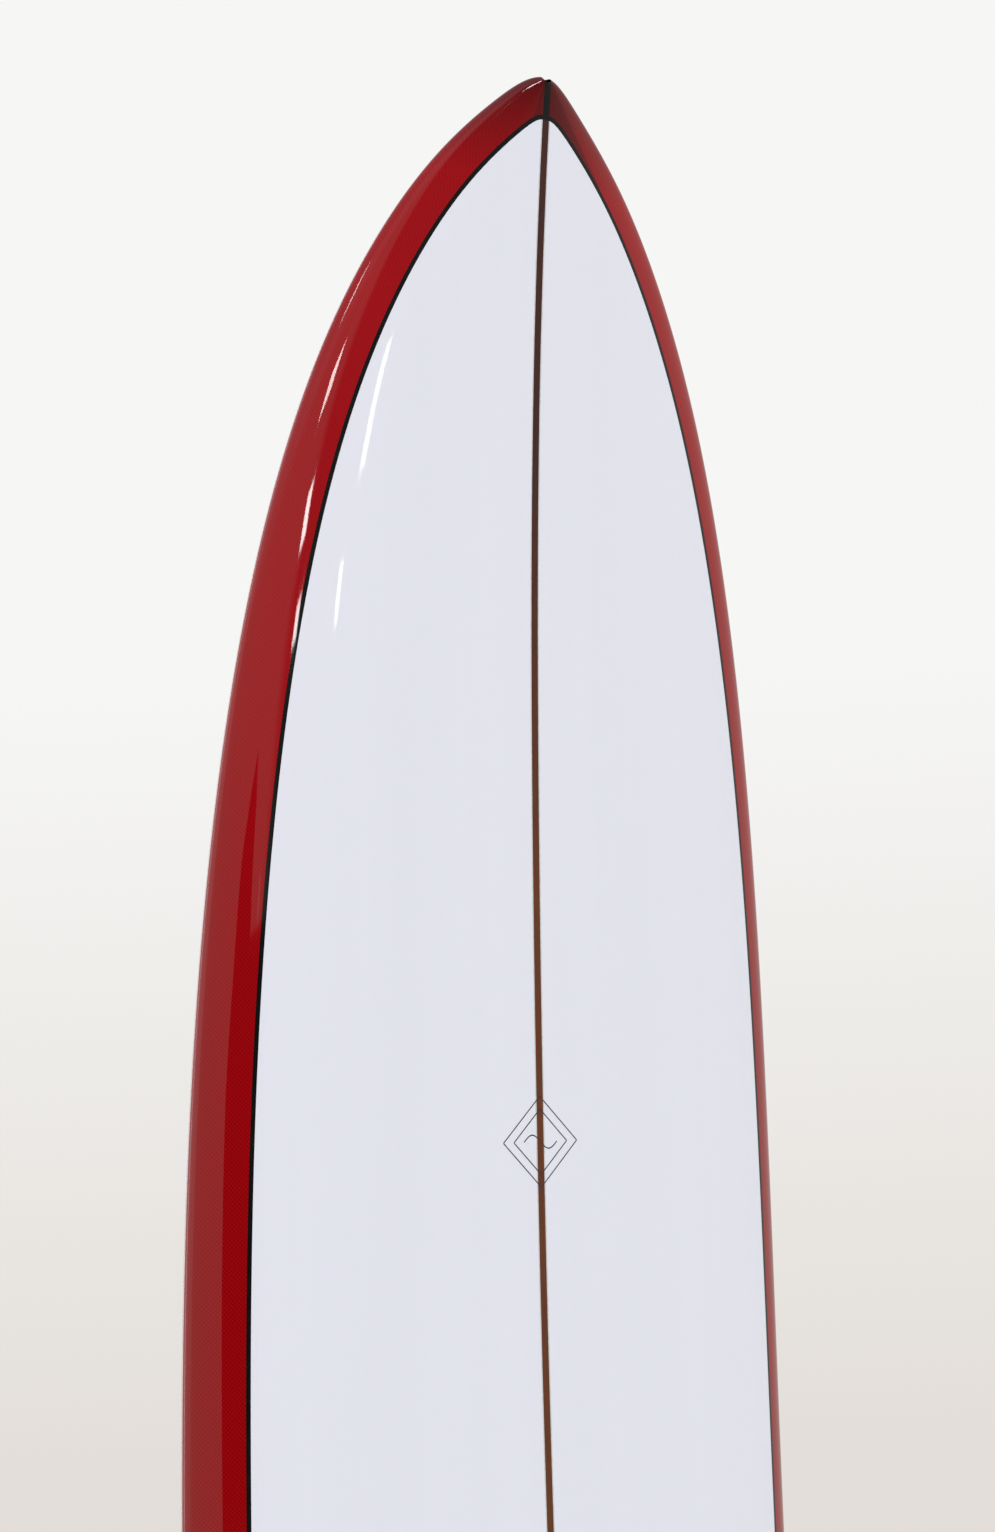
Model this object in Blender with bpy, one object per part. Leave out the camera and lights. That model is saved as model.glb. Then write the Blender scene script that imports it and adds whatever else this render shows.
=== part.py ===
"""Longboard surfboard: glued foam blank, tinted bottom lamination, pinline, slide-in centre fin.

Board coordinates are millimetres: x across, s back from the nose tip, h up from the bottom's flat
spot towards the deck. The board stands nose up: world X = x, world Y = away from the deck,
world Z = towards the nose, with the origin on the bottom's flat spot at the centreline.
"""
import math

import bmesh
import bpy
import numpy as np
from mathutils import Matrix, Vector

MM = 0.001
GAP = 0.3

# Template of the foam blank, in mm from its nose
LENGTH = 2431.4
FLAT_SPOT = 1297.0
OUTLINE = [(0, 0), (20, 39), (60, 85.5), (120, 134.5), (220, 188), (380, 236), (560, 263), (760, 276.3),
           (960, 281.2), (1110, 282.7), (1400, 278.2), (1700, 256), (1950, 214), (2150, 159), (2300, 100),
           (2395, 45), (2431.4, 0)]
DECK_LINE = [(0, 129.4), (60, 121.4), (160, 110.4), (320, 97.4), (560, 84.4), (860, 73.9), (1110, 69.7),
             (1300, 69), (1500, 69.4), (1830, 71.4), (2130, 73.4), (2290, 73.9), (2380, 70.4), (2431.4, 65)]
THICKNESS = [(0, 0), (12, 6.5), (60, 14), (200, 29.5), (400, 45), (700, 61), (1110, 69.5), (1300, 69.8),
             (1400, 69.4), (1500, 67.5), (1830, 58.5), (2130, 42), (2290, 30), (2380, 17.5), (2431.4, 0)]

# Rail section: how square the deck and bottom halves are, and how high the widest point sits
DECK_SQUARENESS = 2.8
DECK_DOME = 2.3
NOSE_SQUARENESS = 2.15
NOSE_DOME = 2.05
NOSE_FADE = 250.0
BOTTOM_SQUARENESS = 6.0
APEX_HEIGHT = 0.45
BOTTOM_FLAT_ANGLE = 10.0
DECK_ANGLES = [0, 12, 28, 44, 60, 76, 90]
BOTTOM_ANGLES = [110, 130, 150, 170]
STATION_STEPS = 22
TIP_STATION = 1.8

# Blank: centre stringer glued between two foam halves
STRINGER_WIDTH = 6.35
GLUE_WIDTH = 0.8

# Layers over the foam, each 0.3 mm clear of the one below
CLOTH = 0.9
COAT = 0.6
CLOTH_1 = (GAP, GAP + CLOTH)
CLOTH_2 = (CLOTH_1[1] + GAP, CLOTH_1[1] + GAP + CLOTH)
TOP_COAT = (CLOTH_2[1] + GAP, CLOTH_2[1] + GAP + COAT)
SKIN = TOP_COAT[1]

# Lines drawn parallel to the outline
LAP_INSET = 26.0
NOSE_LAP_GAIN = 6.0
NOSE_LAP_REACH = 130.0
LAP_ROUNDING = 4.0
BOTTOM_LAP_INSET = 40.0
PINLINE_WIDTH = 3.2
NOSE_LINE_WIDTH = 6.4
FINE_STEPS = 96
END_POINTS = 6
MIDDLE_SKIP = 5

# Emblem on the deck
EMBLEM_STATION = 707.0
EMBLEM_HALF_WIDTH = 36.0
EMBLEM_HALF_LENGTH = 30.0

# Fin box and fin
FIN_STATION = 2157.0
BOX_SINK = 0.4
BOX_LENGTH = 270.0
BOX_WIDTH = 25.4
BOX_DEPTH = 25.0
BED_WALL = 1.2
SLOT_LENGTH = 245.0
SLOT_WIDTH = 9.6
SLOT_DEPTH = 21.0
TRACK_LENGTH = 240.0
TRACK_WIDTH = 14.0
TRACK_TOP = 13.0
TRACK_BOTTOM = 17.6
ENTRY_POSITION = 102.0
ENTRY_LENGTH = 6.0
TAB_REAR = -78.0
TAB_FRONT = 62.0
TAB_DEPTH = 20.4
LUG_FRONT = 78.0
LUG_TOP = 8.0
LUG_BOTTOM = 12.7
FIN_SPAN = 216.0
FIN_BASE_THICKNESS = 9.0
FIN_TIP_THICKNESS = 3.0
FIN_STEPS = 9
PIN_RADIUS = 1.6
PIN_POSITION = -68.0
SCREW_POSITION = 70.0
SCREW_HEAD_RADIUS = 3.7
SCREW_SHANK_RADIUS = 2.0
SCREW_HEAD_HEIGHT = 2.4
SCREW_LENGTH = 8.6
PLATE_LENGTH = 12.0
PLATE_THICKNESS = 3.4

# Leash plug
PLUG_STATION = 2352.0
PLUG_SINK = 0.1
PLUG_RADIUS = 14.0
PLUG_DEPTH = 16.0
PLUG_WELL_RADIUS = 9.6
PLUG_WELL_DEPTH = 13.0
PLUG_BAR_RADIUS = 1.75
PLUG_BAR_DEPTH = 6.0
PLUG_BAR_LENGTH = 24.0
ROUND_SIDES = 24


def spline(table, flat_ends):
    """Smooth curve through (station, value) pairs, parametrised so that tips close round."""
    knots = np.array([tip_angle(s) for s, _ in table])
    values = np.array([float(v) for _, v in table])
    step = np.diff(knots)
    size = len(knots)
    system = np.zeros((size, size))
    target = np.zeros(size)
    for i in range(1, size - 1):
        system[i, i - 1:i + 2] = (step[i - 1], 2 * (step[i - 1] + step[i]), step[i])
        target[i] = 6 * ((values[i + 1] - values[i]) / step[i] - (values[i] - values[i - 1]) / step[i - 1])
    system[0, 0] = 1
    system[-1, -1] = 1
    if flat_ends:
        system[0, :2] = (2, 1)
        target[0] = 6 * (values[1] - values[0]) / step[0] ** 2
        system[-1, -2:] = (1, 2)
        target[-1] = -6 * (values[-1] - values[-2]) / step[-1] ** 2
    bend = np.linalg.solve(system, target)

    def value(s):
        angle = tip_angle(s)
        i = int(np.clip(np.searchsorted(knots, angle) - 1, 0, size - 2))
        a = (knots[i + 1] - angle) / step[i]
        b = 1 - a
        curve = ((a ** 3 - a) * bend[i] + (b ** 3 - b) * bend[i + 1]) * step[i] ** 2 / 6
        return float(a * values[i] + b * values[i + 1] + curve)

    return value


def tip_angle(s):
    return math.acos(min(max(1 - 2 * s / LENGTH, -1), 1))


def station_at(angle):
    return LENGTH / 2 * (1 - math.cos(angle))


outline = spline(OUTLINE, False)
deck_line = spline(DECK_LINE, True)
open_thickness = spline(THICKNESS, False)


def bottom_line(s):
    return max(deck_line(s) - open_thickness(s), 0.0)


def thickness(s):
    return deck_line(s) - bottom_line(s)


def mid_line(s):
    return bottom_line(s) + thickness(s) / 2


def section_point(s, angle):
    """Point of the blank at station s; angle runs from 0 at the deck centre to 180 under the bottom."""
    fade = math.exp(-s / NOSE_FADE)
    squareness = DECK_SQUARENESS + (NOSE_SQUARENESS - DECK_SQUARENESS) * fade
    dome = DECK_DOME + (NOSE_DOME - DECK_DOME) * fade
    thick = thickness(s)
    apex = bottom_line(s) + APEX_HEIGHT * thick
    sine = abs(math.sin(math.radians(angle)))
    cosine = abs(math.cos(math.radians(angle)))
    if abs(angle) <= 90:
        x = sine ** (2 / squareness)
        h = apex + (1 - APEX_HEIGHT) * thick * cosine ** (2 / dome)
    else:
        x = sine ** (2 / BOTTOM_SQUARENESS)
        flat = math.cos(math.radians(BOTTOM_FLAT_ANGLE))
        h = apex - APEX_HEIGHT * thick * min(cosine / flat, 1.0)
    return np.array([math.copysign(x, angle) * outline(s), s, h])


def skin_point(tip, angle, offset):
    """Point of the surface lying offset outside the blank, along the blank's own normal."""
    along = 0.004
    around = 2.0
    ahead = section_point(station_at(tip + along), angle)
    behind = section_point(station_at(tip - along), angle)
    above = section_point(station_at(tip), angle - around)
    below = section_point(station_at(tip), angle + around)
    normal = np.cross(below - above, ahead - behind)
    return section_point(station_at(tip), angle) + offset * normal / np.linalg.norm(normal)


def world(point):
    """Board millimetres to world metres."""
    return Vector((point[0] * MM, -(point[2] + SKIN) * MM, (FLAT_SPOT - point[1]) * MM))


def material(name, colour, roughness, metallic=0.0):
    found = bpy.data.materials.new(name)
    found.use_nodes = True
    shader = found.node_tree.nodes["Principled BSDF"]
    shader.inputs["Base Color"].default_value = (*colour, 1.0)
    shader.inputs["Roughness"].default_value = roughness
    shader.inputs["Metallic"].default_value = metallic
    return found


def add_object(name, mesh, look, parent=None):
    """Object in the parts collection, or in the cutters collection when it has no look."""
    made = bpy.data.objects.new(name, mesh)
    if look is None:
        cutters.objects.link(made)
        made.hide_render = True
        made.display_type = 'WIRE'
    else:
        parts.objects.link(made)
        mesh.materials.append(look)
    made.parent = parent
    return made


def finish_mesh(name, bm, smooth_angle=None):
    bmesh.ops.recalc_face_normals(bm, faces=bm.faces)
    if bm.calc_volume(signed=True) < 0:
        bmesh.ops.reverse_faces(bm, faces=bm.faces)
    mesh = bpy.data.meshes.new(name)
    bm.to_mesh(mesh)
    bm.free()
    if smooth_angle is not None:
        mesh.shade_smooth()
        mesh.set_sharp_from_angle(angle=math.radians(smooth_angle))
    return mesh


def boolean(target, cutter, operation):
    modifier = target.modifiers.new(cutter.name, 'BOOLEAN')
    modifier.operation = operation
    modifier.solver = 'EXACT'
    modifier.object = cutter


def cut(target, *removed):
    for cutter in removed:
        boolean(target, cutter, 'DIFFERENCE')


def keep(target, *kept):
    for cutter in kept:
        boolean(target, cutter, 'INTERSECT')


def ring_angles():
    half = DECK_ANGLES[1:] + BOTTOM_ANGLES
    return [-a for a in reversed(half)] + [DECK_ANGLES[0]] + half


def ring_tips():
    even = [math.pi * k / STATION_STEPS for k in range(1, STATION_STEPS)]
    return [tip_angle(TIP_STATION)] + even + [tip_angle(LENGTH - TIP_STATION)]


def loft_body(bm, offset, inward):
    """Closed loft of the board's sections, offset outside the blank; inward makes it a cavity."""
    angles = ring_angles()
    rings = [[bm.verts.new(world(skin_point(t, a, offset))) for a in angles] for t in ring_tips()]
    nose = bm.verts.new(world((0, -offset, deck_line(0))))
    tail = bm.verts.new(world((0, LENGTH + offset, deck_line(LENGTH))))
    count = len(angles)
    faces = []
    for i in range(count):
        j = (i + 1) % count
        faces.append((nose, rings[0][i], rings[0][j]))
        faces.append((tail, rings[-1][j], rings[-1][i]))
        for front, back in zip(rings, rings[1:]):
            if i < count // 2:
                faces.append((front[i], back[i], back[j]))
                faces.append((front[i], back[j], front[j]))
            else:
                faces.append((front[i], back[i], front[j]))
                faces.append((front[j], back[i], back[j]))
    for face in faces:
        bm.faces.new(reversed(face) if inward else face)


def body_mesh(name):
    bm = bmesh.new()
    loft_body(bm, 0.0, False)
    return finish_mesh(name, bm, 30)


def layer(name, depths, look):
    """Skin between two offsets of the blank, closed all round until it is cut open."""
    bm = bmesh.new()
    loft_body(bm, depths[1], False)
    loft_body(bm, depths[0], True)
    mesh = bpy.data.meshes.new(name)
    bm.to_mesh(mesh)
    bm.free()
    mesh.shade_smooth()
    mesh.set_sharp_from_angle(angle=math.radians(30))
    return add_object(name, mesh, look)


def box_mesh(name, low, high):
    bm = bmesh.new()
    bmesh.ops.create_cube(bm, size=1.0)
    size = [b - a for a, b in zip(low, high)]
    centre = [(a + b) / 2 for a, b in zip(low, high)]
    bmesh.ops.scale(bm, vec=size, verts=bm.verts)
    bmesh.ops.translate(bm, vec=centre, verts=bm.verts)
    return finish_mesh(name, bm)


def slab(name, x_low, x_high):
    """Cutter covering the whole board between two lengthwise planes."""
    reach = LENGTH * MM
    return add_object(name, box_mesh(name, (x_low * MM, -reach, -reach), (x_high * MM, reach, reach)), None)


def inset_line(inset):
    """(station, half width) pairs of the line inside the outline; it comes closer to the rail at the nose."""
    points = [(inset - NOSE_LAP_GAIN, 0.0)]
    for k in range(1, FINE_STEPS):
        tip = math.pi * k / FINE_STEPS
        run = station_at(tip + 0.004) - station_at(tip - 0.004)
        rise = outline(station_at(tip + 0.004)) - outline(station_at(tip - 0.004))
        reach = math.hypot(run, rise)
        s = station_at(tip)
        depth = inset - NOSE_LAP_GAIN * math.exp(-s / NOSE_LAP_REACH)
        points.append((s + depth * rise / reach, outline(s) - depth * run / reach))
    points.append((LENGTH - inset, 0.0))
    middle = FINE_STEPS // 2
    first = max(i for i in range(middle) if points[i][1] <= 0)
    last = min(i for i in range(middle, FINE_STEPS + 1) if points[i][1] <= 0)
    nose_end = centre_crossing(points[first], points[first + 1])
    tail_end = centre_crossing(points[last - 1], points[last])
    nose_side = [(nose_end[0] + math.hypot(s - nose_end[0], LAP_ROUNDING), x)
                 for s, x in points[first + 1:first + 1 + END_POINTS]]
    nose_end = (nose_end[0] + LAP_ROUNDING, 0.0)
    tail_side = points[last - END_POINTS:last]
    between = points[first + 1 + END_POINTS:last - END_POINTS:MIDDLE_SKIP]
    return [nose_end] + nose_side + between + tail_side + [tail_end]


def centre_crossing(a, b):
    share = a[1] / (a[1] - b[1])
    return (a[0] + share * (b[0] - a[0]), 0.0)


def strip_cutter(name, line, low, high):
    """Cutter lofted along the board: a (station, half width) line, between two heights at each station."""
    bm = bmesh.new()
    rings = []
    for s, half in line:
        corners = [(-half, low(s)), (half, low(s)), (half, high(s)), (-half, high(s))]
        if half == 0:
            corners = [corners[0], corners[2]]
        rings.append([bm.verts.new(world((x, s, h))) for x, h in corners])
    for front, back in zip(rings, rings[1:]):
        a = front if len(front) == 4 else [front[0], front[0], front[1], front[1]]
        b = back if len(back) == 4 else [back[0], back[0], back[1], back[1]]
        for i in range(4):
            j = (i + 1) % 4
            corners = list(dict.fromkeys([a[i], a[j], b[j], b[i]]))
            if len(corners) > 2:
                bm.faces.new(corners)
    for ring in (rings[0], rings[-1]):
        if len(ring) == 4:
            bm.faces.new(ring)
    return add_object(name, finish_mesh(name, bm), None)


def deck_top(s):
    return mid_line(min(max(s, 0), LENGTH)) + 60


def deck_low(s):
    return mid_line(min(max(s, 0), LENGTH))


def bottom_low(s):
    return mid_line(min(max(s, 0), LENGTH)) - 60


def deck_region(name, inset):
    return strip_cutter(name, inset_line(inset), deck_low, deck_top)


def bottom_region(name, inset):
    return strip_cutter(name, inset_line(inset), bottom_low, deck_low)


def slope_frame(s, line, offset, outward):
    """Placement on the centreline: Y points out of the board, Z lies along it."""
    rise = (line(s + 5) - line(s - 5)) / 10
    along = Vector((0, -rise, -1)).normalized()
    across = Vector((1, 0, 0))
    out = across.cross(along)
    if outward == 'DECK':
        out = -out
    point = world((0, s, line(s))) + out * offset * MM
    frame = Matrix((across, out, across.cross(out))).transposed().to_4x4()
    frame.translation = point
    return frame


def add_empty(name, frame):
    made = bpy.data.objects.new(name, None)
    parts.objects.link(made)
    made.matrix_world = frame
    return made


def rounded_block(name, width, top, bottom, length, centre, radius, look, parent):
    """Block whose long ends are rounded in plan; top and bottom are depths below the surface."""
    bm = bmesh.new()
    bmesh.ops.create_cube(bm, size=1.0)
    bmesh.ops.scale(bm, vec=(width * MM, (bottom - top) * MM, length * MM), verts=bm.verts)
    upright = [e for e in bm.edges if abs(e.verts[0].co.y - e.verts[1].co.y) > (bottom - top) * MM / 2]
    if radius:
        bmesh.ops.bevel(bm, geom=upright, offset=radius * MM, segments=5, profile=0.5, affect='EDGES')
    bmesh.ops.translate(bm, vec=(0, -(top + bottom) / 2 * MM, centre * MM), verts=bm.verts)
    return add_object(name, finish_mesh(name, bm, 30), look, parent)


def rod(name, radius, start, end, position, axis, look, parent):
    """Cylinder along local X (axis 'X') or Y (axis 'Y'), from start to end."""
    bm = bmesh.new()
    bmesh.ops.create_cone(bm, cap_ends=True, segments=ROUND_SIDES, radius1=radius * MM, radius2=radius * MM,
                          depth=(end - start) * MM)
    bmesh.ops.translate(bm, vec=(0, 0, (start + end) / 2 * MM), verts=bm.verts)
    turn = Matrix.Rotation(math.radians(90), 3, 'Y') if axis == 'X' else Matrix.Rotation(math.radians(-90), 3, 'X')
    bmesh.ops.rotate(bm, cent=(0, 0, 0), matrix=turn, verts=bm.verts)
    bmesh.ops.translate(bm, vec=[p * MM for p in position], verts=bm.verts)
    return add_object(name, finish_mesh(name, bm, 30), look, parent)


def build_blank(looks, pockets):
    """Two foam halves with the stringer and its two glue lines between them."""
    half = STRINGER_WIDTH / 2
    glue_in = half + GAP
    glue_out = glue_in + GLUE_WIDTH
    foam_in = glue_out + GAP
    wide = LENGTH
    slabs = {
        'foam_left': (-wide, -foam_in, looks['foam']),
        'glue_line_left': (-glue_out, -glue_in, looks['glue']),
        'stringer': (-half, half, looks['timber']),
        'glue_line_right': (glue_in, glue_out, looks['glue']),
        'foam_right': (foam_in, wide, looks['foam']),
    }
    for name, (low, high, look) in slabs.items():
        piece = add_object(name, body_mesh(name), look)
        keep(piece, slab('slab_' + name, low, high))
        cut(piece, *pockets)


def build_skins(looks, box_hole, plug_hole):
    """Cloth laminations in two levels, and the coats and lines on top of them."""
    bottom_cloth = layer('bottom_lamination', CLOTH_1, looks['red'])
    cut(bottom_cloth, deck_region('lap_opening', LAP_INSET - GAP / 2), box_hole)
    patch = layer('deck_cloth_patch', CLOTH_1, looks['clear'])
    keep(patch, deck_region('patch_area', LAP_INSET + GAP / 2))
    cut(patch, plug_hole)
    deck_cloth = layer('deck_lamination', CLOTH_2, looks['clear'])
    cut(deck_cloth, bottom_region('bottom_opening', BOTTOM_LAP_INSET), plug_hole)
    bottom_coat = layer('bottom_gloss_coat', (CLOTH_2[0], TOP_COAT[1]), looks['gloss'])
    keep(bottom_coat, bottom_region('bottom_coat_area', BOTTOM_LAP_INSET + GAP))
    cut(bottom_coat, box_hole)

    line_outer = LAP_INSET - PINLINE_WIDTH / 2
    line_inner = LAP_INSET + PINLINE_WIDTH / 2
    half_line = NOSE_LINE_WIDTH / 2
    join = inset_line(line_outer)[0][0] - GAP
    strip = [(-30.0, half_line), (join, half_line)]
    wider = [(-30.0, half_line + GAP), (join + 2 * GAP, half_line + GAP)]
    rail_coat = layer('rail_gloss_coat', TOP_COAT, looks['gloss'])
    cut(rail_coat, deck_region('rail_coat_opening', line_outer - GAP))
    cut(rail_coat, bottom_region('rail_coat_bottom_opening', BOTTOM_LAP_INSET))
    cut(rail_coat, strip_cutter('nose_line_opening', wider, deck_low, deck_top))
    pinline = layer('deck_pinline', TOP_COAT, looks['black'])
    keep(pinline, deck_region('pinline_outer_edge', line_outer))
    cut(pinline, deck_region('pinline_inner_edge', line_inner))
    nose_line = layer('nose_pinline', TOP_COAT, looks['black'])
    keep(nose_line, strip_cutter('nose_line_area', strip, deck_low, deck_top))
    deck_coat = layer('deck_gloss_coat', TOP_COAT, looks['gloss'])
    keep(deck_coat, deck_region('deck_coat_area', line_inner + GAP))
    cut(deck_coat, emblem_cutter('emblem_opening', GAP), plug_hole)
    emblem = layer('emblem_decal', TOP_COAT, looks['emblem'])
    keep(emblem, emblem_cutter('emblem_area', 0.0))


def emblem_cutter(name, growth):
    """Lozenge on the deck centreline."""
    long = EMBLEM_HALF_LENGTH + growth
    wide = EMBLEM_HALF_WIDTH + growth
    line = [(EMBLEM_STATION - long, 0.0), (EMBLEM_STATION, wide), (EMBLEM_STATION + long, 0.0)]
    return strip_cutter(name, line, deck_low, deck_top)


def build_fin_box(looks, mount):
    box = rounded_block('fin_box', BOX_WIDTH, 0, BOX_DEPTH, BOX_LENGTH, 0, BOX_WIDTH / 2 - 0.4,
                        looks['box'], mount)
    slot = rounded_block('fin_slot', SLOT_WIDTH, -5, SLOT_DEPTH, SLOT_LENGTH, 0, SLOT_WIDTH / 2 - 0.2, None, mount)
    track = rounded_block('fin_track', TRACK_WIDTH, TRACK_TOP, TRACK_BOTTOM, TRACK_LENGTH, 0, 0, None, mount)
    entry = rounded_block('track_entry', TRACK_WIDTH, -5, TRACK_BOTTOM - 1, ENTRY_LENGTH, ENTRY_POSITION, 0,
                          None, mount)
    cut(box, slot, track, entry)
    wall = BED_WALL + GAP
    bed = rounded_block('fin_box_bed', BOX_WIDTH + 2 * wall, SKIN + 1, BOX_DEPTH + wall, BOX_LENGTH + 2 * wall, 0,
                        BOX_WIDTH / 2 + wall - 0.4, looks['resin'], mount)
    bed_well = rounded_block('bed_well', BOX_WIDTH + 2 * GAP, -5, BOX_DEPTH + GAP, BOX_LENGTH + 2 * GAP, 0,
                             BOX_WIDTH / 2 + GAP - 0.4, None, mount)
    cut(bed, bed_well)
    wall = wall + GAP
    return rounded_block('fin_box_pocket', BOX_WIDTH + 2 * wall, -20, BOX_DEPTH + wall, BOX_LENGTH + 2 * wall, 0,
                         BOX_WIDTH / 2 + wall - 0.4, None, mount)


def leading_edge(v):
    return TAB_FRONT - 80 * v - 79 * v ** 3


def trailing_edge(v):
    return TAB_REAR + 60 * v - 85 * v ** 3


def foil_section(v):
    """Closed foil outline at a share v of the span: (across, along) pairs, fullest a third back."""
    front = leading_edge(v)
    chord = front - trailing_edge(v)
    thick = FIN_BASE_THICKNESS + (FIN_TIP_THICKNESS - FIN_BASE_THICKNESS) * v
    shares = [0.0, 0.04, 0.14, 0.32, 0.6, 0.85, 1.0]
    widths = [0.12, 0.42, 0.78, 1.0, 0.8, 0.36, 0.12]
    right = [(thick / 2 * w, front - chord * c) for c, w in zip(shares, widths)]
    return right + [(-x, z) for x, z in reversed(right)]


def build_fin(looks, carrier):
    bm = bmesh.new()
    rings = []
    for k in range(FIN_STEPS + 1):
        v = math.sin(math.pi / 2 * k / FIN_STEPS)
        y = -4 if k == 0 else v * FIN_SPAN
        rings.append([bm.verts.new((x * MM, y * MM, z * MM)) for x, z in foil_section(v)])
    for low, high in zip(rings, rings[1:]):
        for i in range(len(low)):
            j = (i + 1) % len(low)
            bm.faces.new((low[i], low[j], high[j], high[i]))
    bm.faces.new(rings[0])
    bm.faces.new(rings[-1])
    bmesh.ops.triangulate(bm, faces=bm.faces)
    blade = add_object('fin_blade', finish_mesh('fin_blade', bm, 35), looks['fin'], carrier)
    tab_middle = (TAB_FRONT + TAB_REAR) / 2
    tab = rounded_block('fin_tab', SLOT_WIDTH - 2 * GAP, -0.4, TAB_DEPTH, TAB_FRONT - TAB_REAR, tab_middle, 3.0,
                        None, carrier)
    lug_length = LUG_FRONT - TAB_FRONT + 4
    lug = rounded_block('fin_lug', SLOT_WIDTH - 2.4 * GAP, LUG_TOP, LUG_BOTTOM, lug_length,
                        LUG_FRONT - lug_length / 2, 1.5, None, carrier)
    boolean(blade, tab, 'UNION')
    boolean(blade, lug, 'UNION')
    pin_depth = (TRACK_TOP + TRACK_BOTTOM) / 2
    reach = TRACK_WIDTH / 2
    cut(blade, rod('pin_hole', PIN_RADIUS + GAP, -reach, reach, (0, -pin_depth, PIN_POSITION), 'X', None, carrier))
    cut(blade, rod('screw_hole', SCREW_SHANK_RADIUS + GAP, -LUG_BOTTOM - 3, -LUG_TOP + 3,
                   (0, 0, SCREW_POSITION), 'Y', None, carrier))
    rod('fin_pin', PIN_RADIUS, -reach + GAP, reach - GAP, (0, -pin_depth, PIN_POSITION), 'X', looks['brass'],
        carrier)


def build_fin_screw(looks, carrier):
    head_seat = -LUG_TOP + GAP
    place = (0, 0, SCREW_POSITION)
    screw = rod('fin_screw', SCREW_HEAD_RADIUS, head_seat, head_seat + SCREW_HEAD_HEIGHT, place, 'Y',
                looks['steel'], carrier)
    shank = rod('screw_shank', SCREW_SHANK_RADIUS, head_seat - SCREW_LENGTH, head_seat + 1, place, 'Y', None,
                carrier)
    boolean(screw, shank, 'UNION')
    driver = rounded_block('driver_slot', 1.0, -10, -head_seat - SCREW_HEAD_HEIGHT + 1, 12, SCREW_POSITION, 0,
                           None, carrier)
    cut(screw, driver)
    plate_top = TRACK_TOP + GAP
    plate = rounded_block('fin_plate', TRACK_WIDTH - 2 * GAP, plate_top, plate_top + PLATE_THICKNESS, PLATE_LENGTH,
                          SCREW_POSITION, 0, looks['steel'], carrier)
    cut(plate, rod('plate_hole', SCREW_SHANK_RADIUS + GAP, -TRACK_BOTTOM - 5, -TRACK_TOP + 5, place, 'Y', None,
                   carrier))


def build_leash_plug(looks, mount):
    """Moulded cup with a steel bar across its well, set in resin through deck and foam."""
    centre = (0, 0, 0)
    cup = rod('leash_plug_cup', PLUG_RADIUS, -PLUG_DEPTH, 0, centre, 'Y', looks['box'], mount)
    cut(cup, rod('plug_well', PLUG_WELL_RADIUS, -PLUG_WELL_DEPTH, 5, centre, 'Y', None, mount))
    reach = PLUG_BAR_LENGTH / 2
    at_bar = (0, -PLUG_BAR_DEPTH, 0)
    cut(cup, rod('bar_hole', PLUG_BAR_RADIUS + GAP, -reach - GAP, reach + GAP, at_bar, 'X', None, mount))
    rod('leash_plug_bar', PLUG_BAR_RADIUS, -reach, reach, at_bar, 'X', looks['steel'], mount)
    wall = BED_WALL + GAP
    bed = rod('leash_plug_bed', PLUG_RADIUS + wall, -PLUG_DEPTH - wall, -SKIN - 1, centre, 'Y', looks['resin'], mount)
    cut(bed, rod('plug_bed_well', PLUG_RADIUS + GAP, -PLUG_DEPTH - GAP, 5, centre, 'Y', None, mount))
    wall = wall + GAP
    return rod('plug_pocket', PLUG_RADIUS + wall, -PLUG_DEPTH - wall, 20, centre, 'Y', None, mount)


def make_looks():
    return {
        'foam': material('white_foam', (0.83, 0.84, 0.86), 0.8),
        'glue': material('white_glue', (0.86, 0.85, 0.82), 0.5),
        'timber': material('stringer_wood', (0.12, 0.035, 0.02), 0.5),
        'red': material('red_resin_cloth', (0.33, 0.008, 0.012), 0.15),
        'clear': material('clear_resin_cloth', (0.74, 0.75, 0.79), 0.15),
        'gloss': material('gloss_resin', (0.78, 0.78, 0.8), 0.05),
        'black': material('black_resin', (0.012, 0.012, 0.013), 0.1),
        'emblem': material('emblem_paper', (0.62, 0.63, 0.67), 0.2),
        'box': material('box_plastic', (0.03, 0.03, 0.032), 0.45),
        'resin': material('set_resin', (0.6, 0.58, 0.5), 0.2),
        'fin': material('fin_composite', (0.02, 0.02, 0.022), 0.25),
        'steel': material('stainless_steel', (0.6, 0.6, 0.6), 0.3, 1.0),
        'brass': material('brass_rod', (0.7, 0.5, 0.2), 0.3, 1.0),
    }


def clear_scene():
    for item in list(bpy.data.objects):
        bpy.data.objects.remove(item, do_unlink=True)
    for group in list(bpy.data.collections):
        bpy.data.collections.remove(group)


def add_collection(name):
    made = bpy.data.collections.new(name)
    bpy.context.scene.collection.children.link(made)
    return made


clear_scene()
parts = add_collection('longboard_surfboard')
cutters = add_collection('cutters')

looks = make_looks()
fin_mount = add_empty('fin_box_mount', slope_frame(FIN_STATION, bottom_line, SKIN - BOX_SINK, 'BOTTOM'))
fin_carrier = add_empty('fin_carrier', Matrix.Identity(4))
fin_carrier.parent = fin_mount
plug_mount = add_empty('leash_plug_mount', slope_frame(PLUG_STATION, deck_line, SKIN - PLUG_SINK, 'DECK'))

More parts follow.
